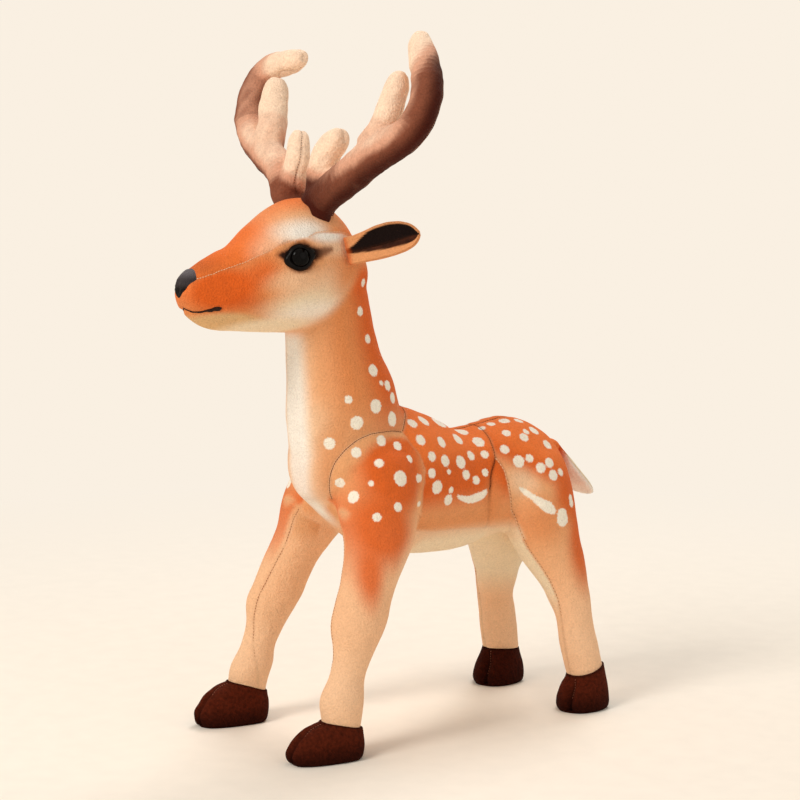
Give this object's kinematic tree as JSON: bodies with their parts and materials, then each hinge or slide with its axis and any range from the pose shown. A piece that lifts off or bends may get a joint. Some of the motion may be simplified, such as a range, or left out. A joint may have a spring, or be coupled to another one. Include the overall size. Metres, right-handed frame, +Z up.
{
  "type": "plush deer",
  "caption": "Standing stuffed fawn with spotted russet plush, forked antlers, leaf ears, dark hooves and a wire frame inside.",
  "frame": {"origin": "centre of the bounding box at the bottom, on the plane of the soles", "axes": "+Z up; the nose points to -Y and the tail to +Y; the deer's left side is +X"},
  "size_m": [0.2058, 0.3067, 0.4256],
  "materials": {
    "back_plush": "short-pile printed plush, russet with cream spots, slight sheen",
    "side_plush": "short-pile printed plush, russet fading to peach",
    "cream_plush": "short-pile plush, cream",
    "antler_plush": "short-pile plush, brown fading to cream at the tips",
    "hoof_plush": "short-pile plush, dark brown",
    "nose_plush": "short fuzzy pile, charcoal",
    "ear_lining": "short-pile plush, dark brown",
    "eye_plastic": "black, high gloss",
    "washer_plastic": "moulded, satin",
    "fibre_fill": "loose polyester fibre",
    "frame_wire": "galvanised wire, satin",
    "clip_plastic": "moulded, satin"
  },
  "bodies": {
    "deer": {"antler_back_panel_left": "antler_plush", "antler_back_panel_right": "antler_plush", "antler_front_panel_left": "antler_plush", "antler_front_panel_right": "antler_plush", "antler_stuffing_left": "fibre_fill", "antler_stuffing_right": "fibre_fill", "back_panel_left": "back_plush", "back_panel_right": "back_plush", "belly_panel": "cream_plush", "chest_panel": "cream_plush", "eye_left": "eye_plastic", "eye_right": "eye_plastic", "eye_washer_left": "washer_plastic", "eye_washer_right": "washer_plastic", "frame_clip_front": "clip_plastic", "frame_clip_rear": "clip_plastic", "front_hoof_left": "hoof_plush", "front_hoof_right": "hoof_plush", "front_hoof_stuffing_left": "fibre_fill", "front_hoof_stuffing_right": "fibre_fill", "front_leg_inner_panel_left": "cream_plush", "front_leg_inner_panel_right": "cream_plush", "front_leg_outer_panel_left": "side_plush", "front_leg_outer_panel_right": "side_plush", "front_leg_stuffing_left": "fibre_fill", "front_leg_stuffing_right": "fibre_fill", "front_leg_wire": "frame_wire", "front_sole_left": "hoof_plush", "front_sole_right": "hoof_plush", "head_side_panel_left": "side_plush", "head_side_panel_right": "side_plush", "head_stuffing": "fibre_fill", "head_top_panel": "back_plush", "neck_panel_left": "side_plush", "neck_panel_right": "side_plush", "neck_stuffing": "fibre_fill", "nose_patch": "nose_plush", "rear_hoof_left": "hoof_plush", "rear_hoof_right": "hoof_plush", "rear_hoof_stuffing_left": "fibre_fill", "rear_hoof_stuffing_right": "fibre_fill", "rear_leg_inner_panel_left": "cream_plush", "rear_leg_inner_panel_right": "cream_plush", "rear_leg_outer_panel_left": "side_plush", "rear_leg_outer_panel_right": "side_plush", "rear_leg_stuffing_left": "fibre_fill", "rear_leg_stuffing_right": "fibre_fill", "rear_leg_wire": "frame_wire", "rear_sole_left": "hoof_plush", "rear_sole_right": "hoof_plush", "spine_rod": "frame_wire", "throat_panel": "cream_plush", "trunk_stuffing": "fibre_fill"},
    "ear_left": {"ear_lining_left": "ear_lining", "ear_back_left": "side_plush"},
    "ear_right": {"ear_lining_right": "ear_lining", "ear_back_right": "side_plush"},
    "tail": {"tail_top": "back_plush", "tail_under": "cream_plush"}
  },
  "joints": [
    {"name": "ear_left_fold", "type": "hinge", "parent": "deer", "child": "ear_left", "pos_m": [0.02838, -0.05776, 0.29737], "axis": [-0.168, -0.174, 0.9703], "range_deg": [-30, 35], "stiffness_Nm_per_rad": 0.004},
    {"name": "ear_right_fold", "type": "hinge", "parent": "deer", "child": "ear_right", "pos_m": [-0.02838, -0.05776, 0.29737], "axis": [-0.168, 0.174, -0.9703], "range_deg": [-30, 35], "stiffness_Nm_per_rad": 0.004},
    {"name": "tail_lift", "type": "hinge", "parent": "deer", "child": "tail", "pos_m": [0, 0.12458, 0.16863], "axis": [1, 0, 0], "range_deg": [0, 70], "stiffness_Nm_per_rad": 0.006}
  ]
}
